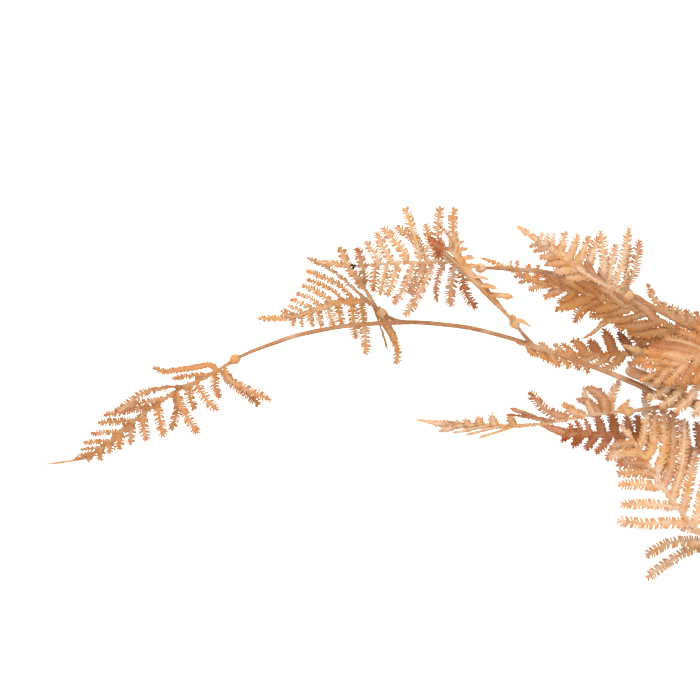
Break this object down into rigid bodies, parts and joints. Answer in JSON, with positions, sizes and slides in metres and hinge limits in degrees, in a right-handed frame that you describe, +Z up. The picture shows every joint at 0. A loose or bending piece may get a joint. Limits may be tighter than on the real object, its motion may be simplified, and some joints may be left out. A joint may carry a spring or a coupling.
{
  "type": "dried fern frond spray",
  "caption": "Dried-look fern spray lying flat: an arching branched stem with ball-socket pegs, each carrying a two-sided comb-edged fern leaf in peach, tan and brown.",
  "frame": {"origin": "centre of the bounding box in plan, on the surface that the spray lies on", "axes": "+X from the leaf tips toward the stem's cut end, +Y across the spray, +Z up from the surface"},
  "size_m": [0.7007, 0.193, 0.0904],
  "materials": {
    "leaf_light": "matt pale peach leaf with darker ribs",
    "leaf_tan": "matt tan leaf with pale edges",
    "leaf_brown": "matt ochre brown leaf",
    "leaf_dark": "matt red-brown leaf, paler toward its base",
    "stem_brown": "matt grey-brown stem with faint lengthwise grain"
  },
  "bodies": {
    "root": {"arc_leaf": "leaf_tan", "arc_stem": "stem_brown", "back_leaf": "leaf_tan", "brown_leaf": "leaf_brown", "crossing_leaf": "leaf_brown", "dark_leaf": "leaf_dark", "high_leaf": "leaf_tan", "inner_leaf": "leaf_brown", "low_leaf": "leaf_brown", "lower_leaf": "leaf_light", "lower_stem": "stem_brown", "lower_tip_leaf": "leaf_light", "main_stem": "stem_brown", "rear_leaf": "leaf_light", "side_stem": "stem_brown", "stem_leaf": "leaf_light", "tip_leaf": "leaf_tan", "twig_leaf": "leaf_tan", "upper_side_leaf": "leaf_light", "upper_stem": "stem_brown", "upper_tip_leaf": "leaf_light"}
  },
  "joints": []
}
